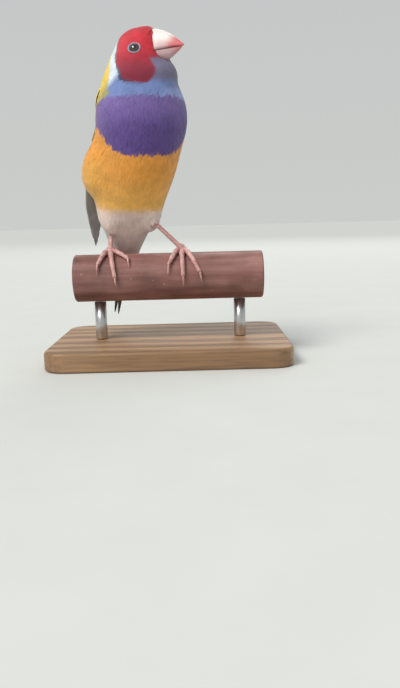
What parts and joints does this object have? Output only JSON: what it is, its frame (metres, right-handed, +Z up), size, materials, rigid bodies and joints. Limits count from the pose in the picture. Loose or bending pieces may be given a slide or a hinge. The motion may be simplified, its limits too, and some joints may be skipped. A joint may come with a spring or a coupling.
{
  "type": "bird model",
  "caption": "Life-size still model of a gouldian finch gripping a short round perch on a flat display stand.",
  "frame": {"origin": "middle of the flat underside of the stand's base", "axes": "+Z up; +X along the perch, towards the bird's left; -Y is the side that the breast faces"},
  "size_m": [0.1, 0.076, 0.1344],
  "materials": {
    "head_feathers": "matt red feathers",
    "breast_feathers": "matt violet feathers",
    "belly_feathers": "matt orange feathers",
    "wing_feathers": "matt pale olive feathers",
    "tail_feathers": "matt grey feathers",
    "bill": "satin pale horn",
    "eye": "polished dark brown",
    "leg_skin": "matt pink scaly skin",
    "perch": "matt reddish brown",
    "rod": "brushed",
    "base": "oiled, plain"
  },
  "bodies": {
    "root": {"head": "head_feathers", "neck": "breast_feathers", "torso": "belly_feathers", "wing_left": "wing_feathers", "wing_right": "wing_feathers", "tail": "tail_feathers", "bill_upper": "bill", "bill_lower": "bill", "eye_left": "eye", "eye_right": "eye", "leg_left": "leg_skin", "leg_right": "leg_skin", "foot_left": "leg_skin", "foot_right": "leg_skin", "stand_perch": "perch", "stand_rod_left": "rod", "stand_rod_right": "rod", "stand_base": "base"}
  },
  "joints": []
}
